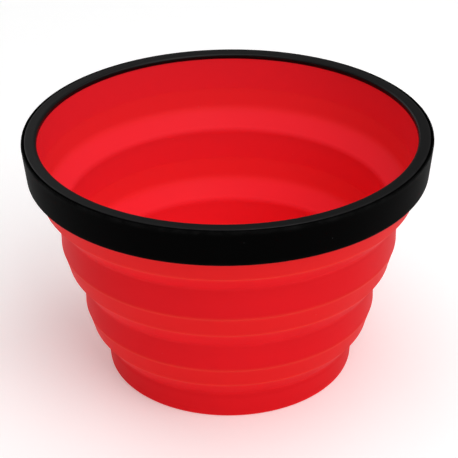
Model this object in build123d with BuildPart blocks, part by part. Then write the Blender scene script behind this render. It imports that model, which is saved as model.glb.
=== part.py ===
from build123d import *
import os

# Collapsible travel cup: a one-piece silicone cup with three folds, its top edge trapped in a two-ring nylon rim.
# Units are millimetres. +Z is up and the cup stands on z = 0, with its axis on Z.

os.makedirs("parts", exist_ok=True)

# ---- driving dimensions ----
rim_radius = 48.0            # widest outer radius, just below the lip
cup_height = 60.4            # table to lip
rim_height = 8.8             # outer band and top ring, top to bottom
rim_foot_radius = 47.2       # outer radius at the band's lower edge (moulding draft)
mouth_radius = 44.4          # clear radius inside the rounded lip
wall_thickness = 1.8         # stiff bands
web_thickness = 1.3          # flexible folds, measured level
floor_thickness = 1.6
floor_recess = 1.0           # the floor's underside above the table

# ---- silicone outer profile: (radius, height), read upwards ----
# Stiff upright bands, each joined to the next by a flexible fold.
base_radius = 30.0
foot_draft = 0.1             # the foot widens by this much up to the floor
foot_top = (30.4, 7.0)
lower_band_foot = (35.3, 16.6)
lower_band_top = (35.4, 23.7)
middle_band_foot = (40.2, 33.6)
middle_band_top = (40.3, 41.7)
collar_foot = (45.6, 51.0)

# A fold flares out to a shoulder, then rises more steeply to the next band. The shoulder's place is a share of the
# fold's own width and height.
shoulder_width_share = 0.71
shoulder_height_share = 0.485

# ---- rim section ----
rim_foot = cup_height - rim_height
cap_radius = 47.2            # outer edge of the top ring
cap_thickness = 1.25
inner_lip_rounding = 1.2     # nearly the ring's whole thickness, so the mouth has a soft edge
groove_width = 0.35          # fine gap between the top ring and the outer band
tongue_inner_radius = 45.4   # the top ring's tongue, pressed into the silicone's top edge
tongue_outer_radius = 46.0
tongue_height = 0.75
tongue_clearance = 0.05
band_lip_drop = 0.1          # the outer band's lip stands this far below the top ring
band_grip_radius = 46.0      # lower mouth of the band, which the silicone can't be pulled down through
band_pocket_radius = 46.9    # pocket above it, for the silicone bead
bead_radius = 46.75
collar_radius = 45.85        # silicone where it passes the band's lower mouth
collar_straight_rise = 0.4   # from the band's lower edge to where the silicone runs straight
bead_foot_rise = 2.7          # from the band's lower edge to the bead
bead_foot = rim_foot + bead_foot_rise
bead_slope = 0.7
collar_inner_radius = 44.5   # silicone inside the mouth, level with the top ring's underside
cap_foot = cup_height - cap_thickness
tongue_foot = cap_foot - tongue_height

base_rounding = 0.6
lip_draft_height = 0.35
band_rounding = 0.25
standing_ring_width = 3.0
standing_ring_slope = 0.4    # its inner side leans this far


def inwards(point, thickness):
    """The inner wall's point level with an outer one."""
    return (point[0] - thickness, point[1])


def wall_section(outer, thicknesses):
    """Closed outline of a wall: the outer points upwards, then the inner ones back down."""
    inner = [inwards(point, thickness) for point, thickness in zip(outer, thicknesses)]
    return outer + inner[::-1]


def fold_outline(below, above):
    """Outer points of the fold between the band below and the band above."""
    shoulder = (
        below[0] + shoulder_width_share * (above[0] - below[0]),
        below[1] + shoulder_height_share * (above[1] - below[1]),
    )
    return [below, shoulder, above]


# ---- silicone: standing ring, floor and the stiff foot band ----
floor_radius = base_radius + foot_draft
floor_top = floor_recess + floor_thickness
with BuildPart() as standing_ring:
    with BuildSketch(Plane.XZ):
        with BuildLine():
            Polyline(
                (base_radius, 0.0),
                (floor_radius, floor_recess),
                (base_radius - standing_ring_width, floor_recess),
                (base_radius - standing_ring_width + standing_ring_slope, 0.0),
                close=True,
            )
        make_face()
    revolve(axis=Axis.Z)
    outer_edge = standing_ring.edges().filter_by(GeomType.CIRCLE).group_by(Axis.Z)[0].sort_by(SortBy.LENGTH)[-1]
    fillet(outer_edge, base_rounding)
standing_ring.part.label = "standing_ring"
export_step(standing_ring.part, "parts/standing_ring.step")

with BuildPart() as floor_disc:
    with BuildSketch(Plane.XY.offset(floor_recess)):
        Circle(floor_radius)
    extrude(amount=floor_thickness)
floor_disc.part.label = "floor_disc"
export_step(floor_disc.part, "parts/floor_disc.step")

foot_outline = wall_section([(floor_radius, floor_top), foot_top], [wall_thickness, wall_thickness])
with BuildPart() as foot_band:
    with BuildSketch(Plane.XZ):
        with BuildLine():
            Polyline(*foot_outline, close=True)
        make_face()
    revolve(axis=Axis.Z)
foot_band.part.label = "foot_band"
export_step(foot_band.part, "parts/foot_band.step")

# ---- silicone: the three folds, each from one band up to the next ----
fold_outlines = {
    "lower_fold_web": fold_outline(foot_top, lower_band_foot),
    "middle_fold_web": fold_outline(lower_band_top, middle_band_foot),
    "upper_fold_web": fold_outline(middle_band_top, collar_foot),
}
fold_thicknesses = [wall_thickness, web_thickness, wall_thickness]
for name, outline in fold_outlines.items():
    with BuildPart() as web:
        with BuildSketch(Plane.XZ):
            with BuildLine():
                Polyline(*wall_section(outline, fold_thicknesses), close=True)
            make_face()
        revolve(axis=Axis.Z)
    web.part.label = name
    export_step(web.part, f"parts/{name}.step")

# ---- silicone: the two stiff bands between the folds ----
band_outlines = {
    "lower_band": [lower_band_foot, lower_band_top],
    "middle_band": [middle_band_foot, middle_band_top],
}
for name, outline in band_outlines.items():
    with BuildPart() as band:
        with BuildSketch(Plane.XZ):
            with BuildLine():
                Polyline(*wall_section(outline, [wall_thickness, wall_thickness]), close=True)
            make_face()
        revolve(axis=Axis.Z)
    band.part.label = name
    export_step(band.part, f"parts/{name}.step")

# ---- silicone: collar with the bead that the rim holds ----
with BuildPart() as rim_collar:
    with BuildSketch(Plane.XZ):
        with BuildLine():
            Polyline(
                collar_foot,
                (collar_radius, rim_foot + collar_straight_rise),
                (collar_radius, bead_foot),
                (bead_radius, bead_foot + bead_slope),
                (bead_radius, cap_foot),
                (tongue_outer_radius + tongue_clearance, cap_foot),
                (tongue_outer_radius + tongue_clearance, tongue_foot),
                (tongue_inner_radius, tongue_foot),
                (tongue_inner_radius, cap_foot),
                (collar_inner_radius, cap_foot),
                inwards(collar_foot, wall_thickness),
                close=True,
            )
        make_face()
    revolve(axis=Axis.Z)
rim_collar.part.label = "rim_collar"
export_step(rim_collar.part, "parts/rim_collar.step")

# ---- nylon rim: outer band ----
lip_inner_radius = cap_radius + groove_width
lip_top = cup_height - band_lip_drop
with BuildPart() as rim_band:
    with BuildSketch(Plane.XZ) as band_section:
        with BuildLine():
            Polyline(
                (band_grip_radius, rim_foot),
                (rim_foot_radius, rim_foot),
                (rim_radius, lip_top - lip_draft_height),
                (rim_radius, lip_top),
                (lip_inner_radius, lip_top),
                (lip_inner_radius, cap_foot),
                (band_pocket_radius, cap_foot),
                (band_pocket_radius, bead_foot + bead_slope),
                (band_grip_radius, bead_foot),
                close=True,
            )
        make_face()
        fillet(band_section.vertices().group_by(Axis.Y)[0], band_rounding)
        fillet(band_section.vertices().group_by(Axis.Y)[-1].sort_by(Axis.X)[-1], band_rounding)
    revolve(axis=Axis.Z)
rim_band.part.label = "rim_band"
export_step(rim_band.part, "parts/rim_band.step")

# ---- nylon rim: top ring ----
with BuildPart() as rim_top_ring:
    with BuildSketch(Plane.XZ) as ring_section:
        with BuildLine():
            Polyline(
                (mouth_radius, cap_foot),
                (tongue_inner_radius, cap_foot),
                (tongue_inner_radius, tongue_foot),
                (tongue_outer_radius, tongue_foot),
                (tongue_outer_radius, cap_foot),
                (cap_radius, cap_foot),
                (cap_radius, cup_height),
                (mouth_radius, cup_height),
                close=True,
            )
        make_face()
        fillet(ring_section.vertices().group_by(Axis.Y)[-1].sort_by(Axis.X)[0], inner_lip_rounding)
    revolve(axis=Axis.Z)
rim_top_ring.part.label = "rim_top_ring"
export_step(rim_top_ring.part, "parts/rim_top_ring.step")
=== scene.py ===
# %% [markdown]
# # A folding silicone travel cup
# The cup is one soft red moulding with three folds in its wall, and its top edge is trapped
# between two hard black rings. Every part of it is round, so this lesson draws each part as a
# thin slice and turns that slice round the axis, the way a potter's wheel would. The CAD model
# comes first as a fixed frame: its boxes say how wide and how tall each part is, and its bodies
# say what moves when the cup folds down.

# %% Load the frame
import math
import bpy
from mathutils import Matrix, Vector


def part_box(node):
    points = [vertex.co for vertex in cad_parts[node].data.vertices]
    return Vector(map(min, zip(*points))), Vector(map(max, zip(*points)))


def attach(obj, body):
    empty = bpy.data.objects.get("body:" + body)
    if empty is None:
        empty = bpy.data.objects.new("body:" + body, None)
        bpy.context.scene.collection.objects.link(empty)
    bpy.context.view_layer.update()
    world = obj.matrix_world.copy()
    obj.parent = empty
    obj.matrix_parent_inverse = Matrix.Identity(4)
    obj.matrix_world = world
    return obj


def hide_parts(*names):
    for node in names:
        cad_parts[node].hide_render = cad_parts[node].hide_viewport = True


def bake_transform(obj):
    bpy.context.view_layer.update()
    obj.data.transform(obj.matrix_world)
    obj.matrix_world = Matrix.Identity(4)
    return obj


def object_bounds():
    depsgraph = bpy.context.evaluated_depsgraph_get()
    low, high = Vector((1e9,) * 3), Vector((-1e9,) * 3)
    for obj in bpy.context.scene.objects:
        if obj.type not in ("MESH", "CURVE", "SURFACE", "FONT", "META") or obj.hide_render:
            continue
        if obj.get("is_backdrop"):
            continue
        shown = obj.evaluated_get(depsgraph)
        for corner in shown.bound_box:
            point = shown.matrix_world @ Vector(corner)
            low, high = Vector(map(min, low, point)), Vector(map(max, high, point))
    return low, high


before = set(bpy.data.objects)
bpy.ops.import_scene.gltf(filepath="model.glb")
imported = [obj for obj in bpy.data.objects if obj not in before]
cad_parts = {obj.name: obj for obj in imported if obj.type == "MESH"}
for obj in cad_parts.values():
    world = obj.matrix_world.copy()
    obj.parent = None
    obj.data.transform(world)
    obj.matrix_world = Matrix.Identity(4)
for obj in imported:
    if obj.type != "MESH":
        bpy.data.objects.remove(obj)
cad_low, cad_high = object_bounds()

MM = 0.001
print("size in mm:", [round(x / MM, 1) for x in cad_high - cad_low])

# %% [markdown]
# ## Reading sizes from the frame
# A round part's box gives its widest radius and its lowest and highest level, which is nearly
# everything that a turned part needs. The helper returns them in millimetres, because the thin
# walls are easier to think of so.

# %% Radii and levels of the CAD parts
def ring_size(node):
    """Widest radius, lowest level and highest level of a round CAD node, in millimetres."""
    low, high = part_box(node)
    return high.x / MM, low.z / MM, high.z / MM


foot_radius, _, foot_top = ring_size("foot_band")
lower_foot_radius, _, lower_foot = ring_size("lower_fold_web")
lower_radius, _, lower_top = ring_size("lower_band")
middle_foot_radius, _, middle_foot = ring_size("middle_fold_web")
middle_radius, _, middle_top = ring_size("middle_band")
collar_radius, _, collar_foot = ring_size("upper_fold_web")
floor_radius, floor_under, floor_top = ring_size("floor_disc")
rim_radius, rim_foot, rim_top = ring_size("rim_band")
cap_radius, tongue_foot, lip_top = ring_size("rim_top_ring")
bead_radius, _, cap_foot = ring_size("rim_collar")
fold_levels = (foot_top, lower_foot, lower_top, middle_foot, middle_top, collar_foot)
print("fold levels:", [round(z, 1) for z in fold_levels])

# %% [markdown]
# ## Camera
# The camera comes before the parts, so that every trial picture is framed alike. It stands in
# front of the cup, about 26 degrees above the lip's centre and 7.5 lip radii away, through a long
# lens, so the lip is a calm ellipse and the steps below it are seen from above. It leans by under
# a degree, as a hand-levelled tripod does.

# %% Camera
camera_rise = math.radians(26.008)
camera_distance = 7.5 * rim_radius * MM
camera_lean = math.radians(-0.759)
camera_lens = 121.08
aim_in_rim_radii = Vector((0.0017, 0, -0.5553))
lip_centre = Vector((0, 0, lip_top * MM))
aim = lip_centre + aim_in_rim_radii * rim_radius * MM

camera_data = bpy.data.cameras.new("camera")
camera_data.sensor_width = 36
camera_data.lens = camera_lens
camera = bpy.data.objects.new("camera", camera_data)
bpy.context.scene.collection.objects.link(camera)
towards_camera = Vector((0, -math.cos(camera_rise), math.sin(camera_rise)))
camera.location = lip_centre + camera_distance * towards_camera
level_turn = (aim - camera.location).to_track_quat("-Z", "Y").to_matrix()
camera.rotation_euler = (level_turn @ Matrix.Rotation(camera_lean, 3, "Z")).to_euler()
bpy.context.scene.camera = camera
print("camera stands", [round(x / MM) for x in camera.location], "mm from the foot's centre")

# %% [markdown]
# ## The lathe
# A turned part could be made with the Spin tool or the Screw modifier. A small Geometry Nodes
# tree is used here instead, because its named inputs make it one lathe for every part. It takes a
# slice drawn where it really lies, on the XZ plane, turns it into a curve, sweeps that along a
# circle, welds the points that meet on the axis, and hands over the material. Values stored on
# the slice's points travel with it, and that is how the silicone will know where its thin folds
# are.

# %% The lathe's node tree
lathe = bpy.data.node_groups.new("lathe", "GeometryNodeTree")
lathe.interface.new_socket("Slice", in_out="INPUT", socket_type="NodeSocketGeometry")
for label, kind in (
    ("Steps Round", "NodeSocketInt"),
    ("Guide Radius", "NodeSocketFloat"),
    ("Weld Distance", "NodeSocketFloat"),
    ("Material", "NodeSocketMaterial"),
):
    lathe.interface.new_socket(label, in_out="INPUT", socket_type=kind)
lathe.interface.new_socket("Turned Part", in_out="OUTPUT", socket_type="NodeSocketGeometry")


def add_node(tree, kind, x, y, **settings):
    """A new node at a place in the editor, with some of its properties set."""
    node = tree.nodes.new(kind)
    node.location = (x, y)
    for key, value in settings.items():
        setattr(node, key, value)
    return node


def build_lathe(tree):
    """Place and link the lathe's nodes."""
    link = tree.links.new
    given = add_node(tree, "NodeGroupInput", -1200, 0)
    place = add_node(tree, "GeometryNodeInputPosition", -1200, -250)
    parts = add_node(tree, "ShaderNodeSeparateXYZ", -1000, -250)
    reach = add_node(tree, "ShaderNodeMath", -800, -200, operation="SUBTRACT")
    drop = add_node(tree, "ShaderNodeMath", -800, -380, operation="MULTIPLY")
    drop.inputs[1].default_value = -1
    flat = add_node(tree, "ShaderNodeCombineXYZ", -600, -250)
    lay_down = add_node(tree, "GeometryNodeSetPosition", -400, 0)
    outline = add_node(tree, "GeometryNodeMeshToCurve", -200, 0)
    guide = add_node(tree, "GeometryNodeCurvePrimitiveCircle", -200, 200)
    sweep = add_node(tree, "GeometryNodeCurveToMesh", 0, 100)
    weld = add_node(tree, "GeometryNodeMergeByDistance", 200, 100)
    smooth = add_node(tree, "GeometryNodeSetShadeSmooth", 400, 100)
    whole = add_node(tree, "GeometryNodeRealizeInstances", 600, 100)
    finish = add_node(tree, "GeometryNodeSetMaterial", 800, 100)
    result = add_node(tree, "NodeGroupOutput", 1000, 100)
    link(place.outputs["Position"], parts.inputs[0])
    link(parts.outputs["X"], reach.inputs[0])
    link(given.outputs["Guide Radius"], reach.inputs[1])
    link(parts.outputs["Z"], drop.inputs[0])
    link(reach.outputs[0], flat.inputs["X"])
    link(drop.outputs[0], flat.inputs["Y"])
    link(given.outputs["Slice"], lay_down.inputs["Geometry"])
    link(flat.outputs[0], lay_down.inputs["Position"])
    link(lay_down.outputs[0], outline.inputs["Mesh"])
    link(given.outputs["Steps Round"], guide.inputs["Resolution"])
    link(given.outputs["Guide Radius"], guide.inputs["Radius"])
    link(guide.outputs["Curve"], sweep.inputs["Curve"])
    link(outline.outputs["Curve"], sweep.inputs["Profile Curve"])
    link(sweep.outputs["Mesh"], weld.inputs["Geometry"])
    link(given.outputs["Weld Distance"], weld.inputs["Distance"])
    link(weld.outputs["Geometry"], smooth.inputs["Geometry"])
    link(smooth.outputs["Geometry"], whole.inputs["Geometry"])
    link(whole.outputs["Geometry"], finish.inputs["Geometry"])
    link(given.outputs["Material"], finish.inputs["Material"])
    link(finish.outputs["Geometry"], result.inputs["Turned Part"])


build_lathe(lathe)
print("the lathe has", len(lathe.nodes), "nodes")

# %% [markdown]
# ## Drawing a slice
# A slice is a closed loop of (radius, level) points in millimetres: up the outer wall, over the
# top and back down the inner wall. Real mouldings have no knife edges, so each corner carries a
# radius and is replaced by a short arc. The line is then cut into small steps, because the
# silicone's thin fold lines need points to sit on.

# %% Rounded corners and even steps
LONGEST_REACH = 0.48         # share of a side that one rounded corner may use up


def rounded_corner(before, corner, after, radius, pieces=6):
    """The arc that replaces an outline's corner. A radius too large for its sides is reduced."""
    p, c, n = (Vector(q) for q in (before, corner, after))
    to_p, to_n = (p - c).normalized(), (n - c).normalized()
    half_angle = to_p.angle(to_n) / 2
    room = min(LONGEST_REACH * (p - c).length, LONGEST_REACH * (n - c).length)
    reach = min(radius / math.tan(half_angle), room)
    start, end = c + to_p * reach, c + to_n * reach
    bend = reach * math.tan(half_angle)
    centre = c + (to_p + to_n).normalized() * math.hypot(reach, bend)
    first, last = start - centre, end - centre
    swing = first.angle_signed(last)
    return [centre + Matrix.Rotation(-swing * k / pieces, 2) @ first for k in range(pieces + 1)]


def outline(corners, step=0.4):
    """Closed outline through (radius, level, corner radius) corners, cut into small steps."""
    count = len(corners)
    line = []
    for k, (r, z, rounding) in enumerate(corners):
        before, after = corners[k - 1][:2], corners[(k + 1) % count][:2]
        sharp = [Vector((r, z))]
        line += rounded_corner(before, (r, z), after, rounding) if rounding else sharp
    points = []
    for a, b in zip(line, line[1:] + line[:1]):
        pieces = max(1, math.ceil((b - a).length / step))
        points += [a.lerp(b, k / pieces) for k in range(pieces)]
    return points


test_square = outline([(1, 0, 0.2), (2, 0, 0.2), (2, 1, 0.2), (1, 1, 0.2)])
square_start = [round(min(p[k] for p in test_square), 2) for k in (0, 1)]
print("a rounded square has", len(test_square), "points, from", square_start)

# %% [markdown]
# ## Turning a slice into a part
# The slice's points become a mesh of edges, and any values that go with them become attributes.
# The lathe is set through each socket's identifier, evaluated once, and kept as a plain mesh.
# Edges that turn by more than 40 degrees stay crisp, and the rest shade as one smooth surface. A
# signed volume shows whether the faces look outwards, which a wrong turning direction would
# spoil.

# %% Turned parts
STEPS_ROUND = 176
GUIDE_RADIUS = 1 * MM
WELD_DISTANCE = 0.002 * MM
CRISP_ANGLE = math.radians(40)
CM3_IN_M3 = 1e6


def lathe_input(name):
    """The identifier of the lathe's input with that name."""
    sockets = lathe.interface.items_tree
    return next(s.identifier for s in sockets if s.name == name and s.in_out == "INPUT")


def volume_of(mesh):
    """Volume inside a closed mesh in cubic centimetres, negative if its faces look inwards."""
    mesh.calc_loop_triangles()
    corners = ([mesh.vertices[i].co for i in t.vertices] for t in mesh.loop_triangles)
    return sum(a.dot(b.cross(c)) for a, b, c in corners) / 6 * CM3_IN_M3


def turned_part(name, points, material, values=None):
    """A part made by turning an outline. Values are {attribute name: one number a point}."""
    slice_mesh = bpy.data.meshes.new(name + "_slice")
    count = len(points)
    places = [(p[0] * MM, 0, p[1] * MM) for p in points]
    edges = [(k, (k + 1) % count) for k in range(count)]
    slice_mesh.from_pydata(places, edges, [])
    for label, numbers in (values or {}).items():
        attribute = slice_mesh.attributes.new(label, "FLOAT", "POINT")
        attribute.data.foreach_set("value", numbers)
    part = bpy.data.objects.new(name, slice_mesh)
    bpy.context.scene.collection.objects.link(part)
    modifier = part.modifiers.new("lathe", "NODES")
    modifier.node_group = lathe
    modifier[lathe_input("Steps Round")] = STEPS_ROUND
    modifier[lathe_input("Guide Radius")] = GUIDE_RADIUS
    modifier[lathe_input("Weld Distance")] = WELD_DISTANCE
    modifier[lathe_input("Material")] = material
    graph = bpy.context.evaluated_depsgraph_get()
    mesh = bpy.data.meshes.new_from_object(part.evaluated_get(graph), depsgraph=graph)
    part.modifiers.remove(modifier)
    part.data = mesh
    bpy.data.meshes.remove(slice_mesh)
    mesh.name = name
    mesh.set_sharp_from_angle(angle=CRISP_ANGLE)
    print(f"{name}: {len(mesh.polygons)} faces, {volume_of(mesh):.2f} cm3")
    return part

# %% [markdown]
# ## Shared effects
# Three effects appear in more than one finish, so each is a node group with named inputs. Grain
# is the fine texture that a blasted steel mould leaves on everything. Handling is the faint
# uneven gloss of a surface that has been held. Lint is the scatter of tiny pale fibres and dust
# that silicone and black nylon both pick up.

# %% A helper for shader groups
def shader_group(name, inputs, outputs):
    """An unlinked shader group with float inputs {name: default} and the named float outputs."""
    group = bpy.data.node_groups.new(name, "ShaderNodeTree")
    for label, value in inputs.items():
        socket = group.interface.new_socket(label, in_out="INPUT", socket_type="NodeSocketFloat")
        socket.default_value = value
    for label in outputs:
        group.interface.new_socket(label, in_out="OUTPUT", socket_type="NodeSocketFloat")
    given = add_node(group, "NodeGroupInput", -900, 0)
    place = add_node(group, "ShaderNodeTexCoord", -900, 250)
    result = add_node(group, "NodeGroupOutput", 600, 0)
    return group, given, place, result

# %% Mould grain
grain_group, given, place, result = shader_group(
    "mould_grain", {"Size mm": 0.3, "Softness": 0.5}, ["Height"]
)
density = add_node(grain_group, "ShaderNodeMath", -700, 0, operation="DIVIDE")
density.inputs[0].default_value = 1 / MM
grain = add_node(grain_group, "ShaderNodeTexNoise", -400, 100)
grain.inputs["Detail"].default_value = 3
link = grain_group.links.new
link(given.outputs["Size mm"], density.inputs[1])
link(place.outputs["Object"], grain.inputs["Vector"])
link(density.outputs[0], grain.inputs["Scale"])
link(given.outputs["Softness"], grain.inputs["Roughness"])
link(grain.outputs["Fac"], result.inputs["Height"])

# %% Handling marks
handling_group, given, place, result = shader_group(
    "handling", {"Size mm": 12.0, "Contrast": 1.0}, ["Gloss Change"]
)
density = add_node(handling_group, "ShaderNodeMath", -700, 0, operation="DIVIDE")
density.inputs[0].default_value = 1 / MM
smear = add_node(handling_group, "ShaderNodeTexNoise", -450, 100)
smear.inputs["Detail"].default_value = 4
smear.inputs["Roughness"].default_value = 0.62
smear.inputs["Distortion"].default_value = 0.6
centred = add_node(handling_group, "ShaderNodeMath", -200, 100, operation="SUBTRACT")
centred.inputs[1].default_value = 0.5
scaled = add_node(handling_group, "ShaderNodeMath", 0, 100, operation="MULTIPLY")
link = handling_group.links.new
link(given.outputs["Size mm"], density.inputs[1])
link(place.outputs["Object"], smear.inputs["Vector"])
link(density.outputs[0], smear.inputs["Scale"])
link(smear.outputs["Fac"], centred.inputs[0])
link(centred.outputs[0], scaled.inputs[0])
link(given.outputs["Contrast"], scaled.inputs[1])
link(scaled.outputs[0], result.inputs["Gloss Change"])

# %% Lint
lint_group, given, place, result = shader_group(
    "lint", {"Spacing mm": 5.0, "Speck Share": 0.03}, ["Specks"]
)
density = add_node(lint_group, "ShaderNodeMath", -700, 0, operation="DIVIDE")
density.inputs[0].default_value = 1 / MM
cells = add_node(lint_group, "ShaderNodeTexVoronoi", -450, 100)
speck = add_node(lint_group, "ShaderNodeMath", -200, 100, operation="LESS_THAN")
link = lint_group.links.new
link(given.outputs["Spacing mm"], density.inputs[1])
link(place.outputs["Object"], cells.inputs["Vector"])
link(density.outputs[0], cells.inputs["Scale"])
link(cells.outputs["Distance"], speck.inputs[0])
link(given.outputs["Speck Share"], speck.inputs[1])
link(speck.outputs[0], result.inputs["Specks"])
print("shared effects:", [g.name for g in (grain_group, handling_group, lint_group)])

# %% [markdown]
# ## Red silicone
# Moulded silicone is saturated, satin rather than glossy, and slightly translucent, so light that
# enters a thin fold comes out a little more orange. The shader is a Principled BSDF with a low
# specular level and only a trace of subsurface scattering, because light that wanders inside one
# piece can't cross into the next, and a stronger effect would leave a dark line at every seam.
# Three attributes stored on the slices steer its colour, and each places painted light. `thin` is 1
# where the wall is a thin web, which is painted orange as a glow for the light that passes through
# it. `fold_line` is 1 along the fine raised lines outside, at the two edges of each fold, which are
# painted a lighter orange as a highlight for the light that they catch. `inside` is 1 on the faces
# that hold the drink, which are painted paler for the light that bounces round inside the cup.

# %% Silicone shader
def mixed_colour(tree, x, y, factor_socket, first, second):
    """A colour mix node. First and second are a colour socket or a plain (r, g, b)."""
    node = add_node(tree, "ShaderNodeMix", x, y, data_type="RGBA")
    for socket, colour in ((node.inputs[6], first), (node.inputs[7], second)):
        if isinstance(colour, tuple):
            socket.default_value = (*colour, 1)
        else:
            tree.links.new(colour, socket)
    tree.links.new(factor_socket, node.inputs["Factor"])
    return node.outputs[2]


def scaled_value(tree, x, y, socket, factor, offset=0.0):
    """socket * factor + offset."""
    node = add_node(tree, "ShaderNodeMath", x, y, operation="MULTIPLY_ADD")
    node.inputs[1].default_value = factor
    node.inputs[2].default_value = offset
    tree.links.new(socket, node.inputs[0])
    return node.outputs[0]


def placed_group(tree, group, x, y, **values):
    """A group node with some inputs set, named with spaces where the keyword has underscores."""
    node = add_node(tree, "ShaderNodeGroup", x, y, node_tree=group)
    for key, value in values.items():
        node.inputs[key.replace("_", " ")].default_value = value
    return node


DEEP_RED = (0.82, 0.0105, 0.0165)
BRIGHT_RED = (0.89, 0.0120, 0.0185)
# Painted light: the faces inside the cup are painted paler, for light bouncing round inside it.
INSIDE_PAINTED_LIGHT_RED = (0.93, 0.026, 0.040)
# Painted glow: thin webs are painted orange, for light that passes through them.
THIN_PAINTED_GLOW_RED = (0.88, 0.024, 0.016)
# Painted highlight: the raised fold lines are painted lighter, for the light they catch.
LINE_PAINTED_HIGHLIGHT_RED = (0.90, 0.075, 0.040)
LINT_ON_RED = (0.75, 0.45, 0.42)
# How strongly the painted glow and the painted highlight are mixed in.
THIN_PAINTED_GLOW_TINT = 0.3
LINE_PAINTED_HIGHLIGHT_TINT = 0.30
LINT_ON_RED_STRENGTH = 0.10
SILICONE_ROUGHNESS = 0.46


def silicone_finish():
    """Satin red silicone, with painted glow, highlight and inside light set by three attributes."""
    material = bpy.data.materials.new("red_silicone")
    material.use_nodes = True
    tree = material.node_tree
    shader = tree.nodes["Principled BSDF"]
    shader.inputs["Specular IOR Level"].default_value = 0.03
    shader.inputs["Subsurface Weight"].default_value = 0.10
    shader.inputs["Subsurface Radius"].default_value = (1.0, 0.10, 0.06)
    shader.inputs["Subsurface Scale"].default_value = 1.2 * MM
    thin = add_node(tree, "ShaderNodeAttribute", -1400, 500, attribute_name="thin")
    line = add_node(tree, "ShaderNodeAttribute", -1400, 300, attribute_name="fold_line")
    inside = add_node(tree, "ShaderNodeAttribute", -1400, 700, attribute_name="inside")
    tone = placed_group(tree, handling_group, -1400, 0, Size_mm=17.0, Contrast=0.9)
    dust = placed_group(tree, lint_group, -1400, -200, Spacing_mm=6.0, Speck_Share=0.022)
    gloss = placed_group(tree, handling_group, -1400, -400, Size_mm=9.0, Contrast=0.16)
    grain_height = placed_group(tree, grain_group, -1400, -600, Size_mm=0.22, Softness=0.55)
    tone_amount = scaled_value(tree, -1150, 0, tone.outputs[0], 1.0, 0.5)
    colour = mixed_colour(tree, -900, 400, tone_amount, DEEP_RED, BRIGHT_RED)
    # Painted light: the inside faces are painted paler.
    colour = mixed_colour(tree, -780, 500, inside.outputs["Fac"], colour, INSIDE_PAINTED_LIGHT_RED)
    # Painted glow on the thin webs.
    painted_glow_amount = scaled_value(tree, -1150, 500, thin.outputs["Fac"], THIN_PAINTED_GLOW_TINT)
    colour = mixed_colour(tree, -650, 400, painted_glow_amount, colour, THIN_PAINTED_GLOW_RED)
    # Painted highlight along the raised lines.
    painted_highlight_amount = scaled_value(tree, -1150, 300, line.outputs["Fac"], LINE_PAINTED_HIGHLIGHT_TINT)
    colour = mixed_colour(tree, -400, 400, painted_highlight_amount, colour, LINE_PAINTED_HIGHLIGHT_RED)
    speck_amount = scaled_value(tree, -1150, -200, dust.outputs[0], LINT_ON_RED_STRENGTH)
    colour = mixed_colour(tree, -150, 400, speck_amount, colour, LINT_ON_RED)
    tree.links.new(colour, shader.inputs["Base Color"])
    roughness = scaled_value(tree, -400, -400, gloss.outputs[0], 1.0, SILICONE_ROUGHNESS)
    tree.links.new(roughness, shader.inputs["Roughness"])
    bump = add_node(tree, "ShaderNodeBump", -400, -600)
    bump.inputs["Strength"].default_value = 0.12
    bump.inputs["Distance"].default_value = 0.03 * MM
    tree.links.new(grain_height.outputs[0], bump.inputs["Height"])
    tree.links.new(bump.outputs[0], shader.inputs["Normal"])
    return material


red_silicone = silicone_finish()
print("silicone shader:", len(red_silicone.node_tree.nodes), "nodes")

# %% [markdown]
# ## Black nylon
# The rim is injection-moulded nylon: near black, matt, with a blasted texture that you feel more
# than see. Its edges get knocked in a bag, so a value stored along the rounded edges lifts the
# colour and the gloss there a little, broken up by noise so that it isn't even. The lighter colour
# there is partly wear and partly a painted highlight, the thin line of light that an edge catches.

# %% Nylon shader
LINT_ON_BLACK = (0.25, 0.25, 0.26)
LINT_ON_BLACK_STRENGTH = 0.16
TONE_SPREAD = 0.25           # how far the colour varies either side of its base
WEAR_POLISH = -0.12          # how much a worn edge's roughness drops


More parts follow.
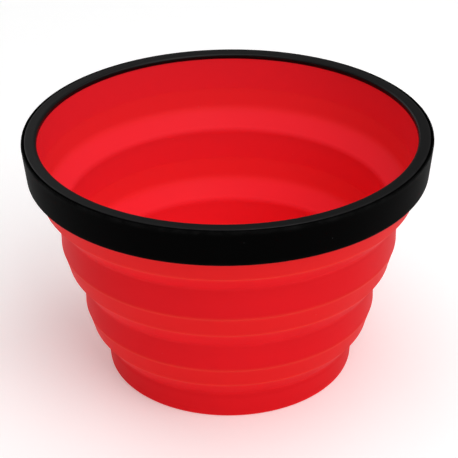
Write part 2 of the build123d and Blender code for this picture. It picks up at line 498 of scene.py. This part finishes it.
def nylon_finish(name, base, wear_and_highlight_colour, specular, roughness):
    """Matt black nylon, lighter and a little glossier along marked edges: wear and a painted
    highlight.
    """
    material = bpy.data.materials.new(name)
    material.use_nodes = True
    tree = material.node_tree
    shader = tree.nodes["Principled BSDF"]
    shader.inputs["Specular IOR Level"].default_value = specular
    wear_and_highlight = add_node(tree, "ShaderNodeAttribute", -1400, 500, attribute_name="wear_and_highlight")
    patches = placed_group(tree, handling_group, -1400, 250, Size_mm=3.0, Contrast=2.2)
    tone = placed_group(tree, handling_group, -1400, 0, Size_mm=14.0, Contrast=0.9)
    dust = placed_group(tree, lint_group, -1400, -200, Spacing_mm=5.0, Speck_Share=0.02)
    grain_height = placed_group(tree, grain_group, -1400, -600, Size_mm=0.30, Softness=0.6)
    darker = tuple((1 - TONE_SPREAD) * c for c in base)
    lighter = tuple((1 + TONE_SPREAD) * c for c in base)
    tone_amount = scaled_value(tree, -1150, 0, tone.outputs[0], 1.0, 0.5)
    colour = mixed_colour(tree, -900, 400, tone_amount, darker, lighter)
    patchy = scaled_value(tree, -1150, 250, patches.outputs[0], 1.0, 0.5)
    wear_and_highlight_amount = add_node(tree, "ShaderNodeMath", -900, 200, operation="MULTIPLY", use_clamp=True)
    tree.links.new(wear_and_highlight.outputs["Fac"], wear_and_highlight_amount.inputs[0])
    tree.links.new(patchy, wear_and_highlight_amount.inputs[1])
    # Wear and a painted highlight: marked edges are lifted towards a lighter colour.
    colour = mixed_colour(tree, -600, 400, wear_and_highlight_amount.outputs[0], colour, wear_and_highlight_colour)
    speck_amount = scaled_value(tree, -1150, -200, dust.outputs[0], LINT_ON_BLACK_STRENGTH)
    colour = mixed_colour(tree, -350, 400, speck_amount, colour, LINT_ON_BLACK)
    tree.links.new(colour, shader.inputs["Base Color"])
    polish = scaled_value(tree, -600, -100, wear_and_highlight_amount.outputs[0], WEAR_POLISH, roughness)
    tree.links.new(polish, shader.inputs["Roughness"])
    bump = add_node(tree, "ShaderNodeBump", -400, -600)
    bump.inputs["Strength"].default_value = 0.22
    bump.inputs["Distance"].default_value = 0.04 * MM
    tree.links.new(grain_height.outputs[0], bump.inputs["Height"])
    tree.links.new(bump.outputs[0], shader.inputs["Normal"])
    return material


band_nylon = nylon_finish(
    "band_nylon",
    base=(0.0009, 0.0009, 0.0009),
    wear_and_highlight_colour=(0.007, 0.007, 0.007),
    specular=0.008,
    roughness=0.5,
)
# Painted light: the ring is the same nylon as the band, with a lighter base colour for the light
# that its upward top face catches.
ring_nylon_painted_lighter = nylon_finish(
    "ring_nylon_painted_lighter",
    base=(0.0022, 0.0020, 0.0022),
    wear_and_highlight_colour=(0.010, 0.0095, 0.010),
    specular=0.18,
    roughness=0.40,
)
print("nylon shaders:", band_nylon.name, ring_nylon_painted_lighter.name)

# %% [markdown]
# ## The wall's slice
# The wall is stiff where it stands upright and thin where it folds. Going up, each fold flares
# out from the band below to a shoulder and then rises to the band above. Outside, a fine raised
# line runs round both edges of that upper part, where the moulding hinges. Lengths are in
# millimetres. The helpers below give a fold's corners and the values that the silicone shader
# reads, from the same numbers, so shape and colour can't drift apart.

# %% Fold corners
wall = 1.8
web = 1.3
shoulder_width_share = 0.71
shoulder_height_share = 0.485
tail_below = 1.6             # how far under its crease a fold's piece begins
crease_rounding = 2.4
shoulder_rounding = 1.2
band_foot_rounding = 1.4
inner_softness = 2.5         # bends inside are this many times as round


def fold_corners(below_radius, below_level, above_radius, above_level):
    """A fold's outer corners as (radius, level, corner radius), and the thickness at each."""
    shoulder_radius = below_radius + shoulder_width_share * (above_radius - below_radius)
    shoulder_level = below_level + shoulder_height_share * (above_level - below_level)
    corners = [
        (below_radius, below_level - tail_below, 0),
        (below_radius, below_level, crease_rounding),
        (shoulder_radius, shoulder_level, shoulder_rounding),
        (above_radius, above_level, band_foot_rounding),
    ]
    return corners, [wall, wall, web, wall]


def inner_side(corners, thickness):
    """The inner corners, read downwards. The thickness is level, so both sides fold together."""
    pairs = zip(corners, thickness)
    return [(r - t, z, inner_softness * rounding) for (r, z, rounding), t in pairs][::-1]

# %% Values along a fold
line_width = 0.30
line_height = 0.05
thin_fade_in = 1.5           # below the shoulder
thin_fade_out = (0.5, 1)     # below and above the band's foot


def bump_at(level, centre):
    """1 at the centre of a raised line, falling smoothly to 0."""
    return math.exp(-(((level - centre) / line_width) ** 2))


def smooth_step(value, low, high):
    """0 below low, 1 above high, and an even curve in between."""
    t = min(1, max(0, (value - low) / (high - low)))
    return t * t * (3 - 2 * t)


def inside_values(points):
    """0 on the way up the outer wall and 1 on the way down the inner one."""
    top = max(range(len(points)), key=lambda k: points[k][1])
    return [float(k > top) for k in range(len(points))]


def with_fold_values(points, shoulder_level, above_level):
    """The points with the outer wall's raised lines added, and the values the shader reads."""
    shaped, thin, fold_line = [], [], []
    inside = inside_values(points)
    for (radius, level), within in zip(points, inside):
        # The raised lines, which the shader also paints with a lighter highlight colour.
        nearest = max(bump_at(level, shoulder_level), bump_at(level, above_level))
        line = (1 - within) * nearest
        shaped.append((radius + line_height * line, level))
        fold_line.append(line)
        # The thin web, where the shader paints an orange glow for light that passes through it.
        rise = smooth_step(level, shoulder_level - thin_fade_in, shoulder_level)
        fade_start, fade_end = above_level - thin_fade_out[0], above_level + thin_fade_out[1]
        thin.append(rise * (1 - smooth_step(level, fade_start, fade_end)))
    return shaped, {"thin": thin, "fold_line": fold_line, "inside": inside}


shown, _ = fold_corners(foot_radius, foot_top, lower_foot_radius, lower_foot)
print("the lower fold's corners:", [tuple(round(x, 1) for x in corner) for corner in shown])

# %% [markdown]
# ## Two steps of wall
# Each step is one closed piece, a fold with the upright band above it. Here `bend` only bakes each
# piece's placement into its mesh and ties it to no body. Each seam between two pieces lies just
# below a crease, on a stretch of straight wall, where it is least seen.

# %% Steps
def step_piece(name, below, above, band_top_radius, band_top):
    """A fold and the band above it. Below and above are the (radius, level) of its two ends."""
    corners, thickness = fold_corners(*below, *above)
    corners.append((band_top_radius, band_top - tail_below, 0))
    thickness.append(wall)
    points = outline(corners + inner_side(corners, thickness), step=0.3)
    points, values = with_fold_values(points, corners[2][1], above[1])
    return turned_part(name, points, red_silicone, values)


def bend(part, body_below, body_above, bottom, top):
    """Bake the part's placement into its mesh. The bodies and the levels are not used."""
    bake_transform(part)


lower_step = step_piece(
    "lower_wall",
    (foot_radius, foot_top),
    (lower_foot_radius, lower_foot),
    lower_radius,
    lower_top,
)
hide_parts("lower_fold_web", "lower_band")
bend(lower_step, "foot", "lower_step", foot_top, lower_foot)
middle_step = step_piece(
    "middle_wall",
    (lower_radius, lower_top),
    (middle_foot_radius, middle_foot),
    middle_radius,
    middle_top,
)
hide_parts("middle_fold_web", "middle_band")
bend(middle_step, "lower_step", "middle_step", lower_top, middle_foot)

# %% [markdown]
# ## Foot
# The foot is the cup's floor, the upright wall round it and a standing ring below, so the cup
# rocks on no bump in the floor's middle. Underneath, the floor is recessed, with the small round
# mark where the silicone was injected. The slice starts and ends on the axis, and the lathe welds
# it shut there.

# %% Foot
ring_width = 3.0
ring_slope = 0.5
foot_draft = 0.1
draft_rise = 0.2             # above the floor's underside, where the draft ends
mark_radius = 2.2
mark_depth = 0.3
foot_corners = [
    (0, floor_under + mark_depth, 0),
    (mark_radius, floor_under + mark_depth, 0.1),
    (mark_radius + mark_depth, floor_under, 0.15),
    (floor_radius - ring_width, floor_under, 0.3),
    (floor_radius - ring_width + ring_slope, 0, 0.4),
    (floor_radius - foot_draft, 0, 0.7),
    (floor_radius, floor_under + draft_rise, 0),
    (foot_radius, foot_top - tail_below, 0),
    (foot_radius - wall, foot_top - tail_below, 0),
    (floor_radius - wall, floor_top, 1.4),
    (0, floor_top, 0),
]
foot_points = outline(foot_corners, step=0.6)
plain = [0.0] * len(foot_points)
foot_values = {"thin": plain, "fold_line": plain, "inside": inside_values(foot_points)}
foot = turned_part("cup_foot", foot_points, red_silicone, foot_values)
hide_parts("standing_ring", "floor_disc", "foot_band")
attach(foot, "foot")

# %% [markdown]
# ## Top fold and collar
# Above the last fold the wall runs up inside the rim. Its thick bead sits in the outer band's
# pocket, above a narrower mouth that it can't be pulled down through, and the top ring's tongue
# is pressed into its top edge.

# %% Top fold and collar
grip_radius = 46.0
tongue_inner_radius = 45.4
tongue_outer_radius = 46.0
inner_lip_radius = 44.5
tongue_gap = 0.05
bead_foot = rim_foot + 2.7
bead_slope = 0.7
neck_rise = 0.4
neck_flare = 0.2
neck_top_flare = 0.25
corners, thickness = fold_corners(middle_radius, middle_top, collar_radius, collar_foot)
collar_corners = [
    (collar_radius + neck_flare, rim_foot + neck_rise, 0.2),
    (collar_radius + neck_top_flare, bead_foot, 0.3),
    (bead_radius, bead_foot + bead_slope, 0.3),
    (bead_radius, cap_foot, 0.2),
    (tongue_outer_radius + tongue_gap, cap_foot, 0),
    (tongue_outer_radius + tongue_gap, tongue_foot, 0),
    (tongue_inner_radius, tongue_foot, 0),
    (tongue_inner_radius, cap_foot, 0),
    (inner_lip_radius, cap_foot, 0.2),
]
points = outline(corners + collar_corners + inner_side(corners, thickness), step=0.3)
points, values = with_fold_values(points, corners[2][1], collar_foot)
collar = turned_part("upper_wall", points, red_silicone, values)
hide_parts("upper_fold_web", "rim_collar")
bend(collar, "middle_step", "rim", middle_top, collar_foot)

# %% [markdown]
# ## Rim
# The rim is two rings. The outer band is a hoop with a drafted wall and rounded edges. The top
# ring drops inside it, and the fine gap left between them is the dark line that runs round the
# lip. The edge value peaks on the edges that get knocked: the outer edge of each ring's top and
# the band's lower edge, which it lightens with wear and a painted highlight.

# %% Rim band and top ring
groove_width = 0.35
lip_inner_radius = cap_radius + groove_width
rim_foot_radius = 47.2
pocket_radius = 46.9
crown_drop = 0.5             # from the band's top to where it is widest
crown_draft = 0.08
wear_and_highlight_drop = 0.2


def wear_and_highlight_near(points, edges, width):
    """1 on the given (radius, level) edges, falling to 0 about width away."""
    values = []
    for p in points:
        nearest = min(math.dist(p, edge) for edge in edges)
        values.append(math.exp(-((nearest / width) ** 2)))
    return values


band_corners = [
    (grip_radius, rim_foot, 0.25),
    (rim_foot_radius, rim_foot, 0.35),
    (rim_radius, rim_top - crown_drop, 1.0),
    (rim_radius - crown_draft, rim_top, 0.16),
    (lip_inner_radius, rim_top, 0.12),
    (lip_inner_radius, cap_foot, 0),
    (pocket_radius, cap_foot, 0),
    (pocket_radius, bead_foot + bead_slope, 0.2),
    (grip_radius, bead_foot, 0.2),
]
band_points = outline(band_corners, step=0.35)
# Edges lightened with wear and a painted highlight line.
band_edges = [(rim_radius, rim_top - wear_and_highlight_drop), (rim_foot_radius, rim_foot)]
band_wear_and_highlight = wear_and_highlight_near(band_points, band_edges, width=0.5)
rim_band = turned_part("outer_band", band_points, band_nylon, {"wear_and_highlight": band_wear_and_highlight})

mouth_radius = 44.4
ring_corners = [
    (mouth_radius, cap_foot, 0.12),
    (tongue_inner_radius, cap_foot, 0),
    (tongue_inner_radius, tongue_foot, 0),
    (tongue_outer_radius, tongue_foot, 0),
    (tongue_outer_radius, cap_foot, 0),
    (cap_radius, cap_foot, 0),
    (cap_radius, lip_top, 0.14),
    (mouth_radius, lip_top, 1.1),
]
ring_points = outline(ring_corners, step=0.25)
# The ring's outer top edge, lightened with wear and a painted highlight line.
ring_wear_and_highlight = wear_and_highlight_near(ring_points, [(cap_radius, lip_top)], width=0.4)
top_ring = turned_part("top_ring", ring_points, ring_nylon_painted_lighter, {"wear_and_highlight": ring_wear_and_highlight})
for part, node in ((rim_band, "rim_band"), (top_ring, "rim_top_ring")):
    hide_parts(node)
    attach(part, "rim")

# %% [markdown]
# ## Floor and light
# The cup stands on a pale, plain floor under a dim, even sky and five softboxes, so its shape is
# told by soft shading and not by hard shadows. The key softbox stands to the right, and makes
# that side a little brighter than the left, which a weak lamp fills. One lamp from above lights
# the inside, one from the right rounds that side off, and one from behind gives the rim's top
# face its sheen. The floor glows faintly, so that it stays pale in shadow.

# %% Floor
floor_mesh = bpy.data.meshes.new("floor")
half = 3.0                   # metres
floor_corners = [(-half, -half, 0), (half, -half, 0), (half, half, 0), (-half, half, 0)]
floor_mesh.from_pydata(floor_corners, [], [(0, 1, 2, 3)])
floor = bpy.data.objects.new("floor", floor_mesh)
bpy.context.scene.collection.objects.link(floor)
floor_finish = bpy.data.materials.new("studio_floor")
floor_finish.use_nodes = True
floor_shader = floor_finish.node_tree.nodes["Principled BSDF"]
floor_shader.inputs["Base Color"].default_value = (0.95, 0.95, 0.95, 1)
floor_shader.inputs["Roughness"].default_value = 0.8
floor_shader.inputs["Specular IOR Level"].default_value = 0.1
floor_shader.inputs["Emission Color"].default_value = (1, 1, 1, 1)
floor_shader.inputs["Emission Strength"].default_value = 0.25
floor_mesh.materials.append(floor_finish)
floor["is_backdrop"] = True

# %% Sky and softboxes
cup_middle = 0.03            # metres above the floor
world = bpy.data.worlds.new("studio")
bpy.context.scene.world = world
world.use_nodes = True
sky = world.node_tree.nodes["Background"]
sky.inputs["Color"].default_value = (1, 1, 1, 1)
sky.inputs["Strength"].default_value = 0.17


def softbox(name, place, size, watts):
    """A square lamp at a place in metres, turned towards the cup's middle."""
    lamp = bpy.data.lights.new(name, "AREA")
    lamp.size = size
    lamp.energy = watts
    box = bpy.data.objects.new(name, lamp)
    bpy.context.scene.collection.objects.link(box)
    box.location = place
    towards_cup = Vector((0, 0, cup_middle)) - box.location
    box.rotation_euler = towards_cup.to_track_quat("-Z", "Y").to_euler()


def around_cup(azimuth, rise):
    """A place one metre from the cup's middle. Azimuth 0 is in front, 90 is to the right."""
    a, r = math.radians(azimuth), math.radians(rise)
    across, forward = math.sin(a) * math.cos(r), -math.cos(a) * math.cos(r)
    return Vector((across, forward, math.sin(r) + cup_middle))


softbox("key_softbox", around_cup(36, 50), size=0.7, watts=4.2)
softbox("left_fill", around_cup(-45, 32), size=0.6, watts=0.45)
softbox("top_softbox", around_cup(0, 88), size=0.7, watts=3.3)
softbox("right_softbox", around_cup(120, 55), size=0.6, watts=1.2)
softbox("rear_softbox", around_cup(-145, 29), size=0.6, watts=1.1)
bpy.context.scene.view_settings.view_transform = "Standard"

# %% [markdown]
# The CAD model's box and the finished pieces' box are both printed, in millimetres.

# %% Sizes
new_low, new_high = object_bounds()
boxes = {"cad": [list(cad_low), list(cad_high)], "visual": [list(new_low), list(new_high)]}
for name, corners in boxes.items():
    print(name, "box, mm:", [[round(x / MM, 2) for x in corner] for corner in corners])
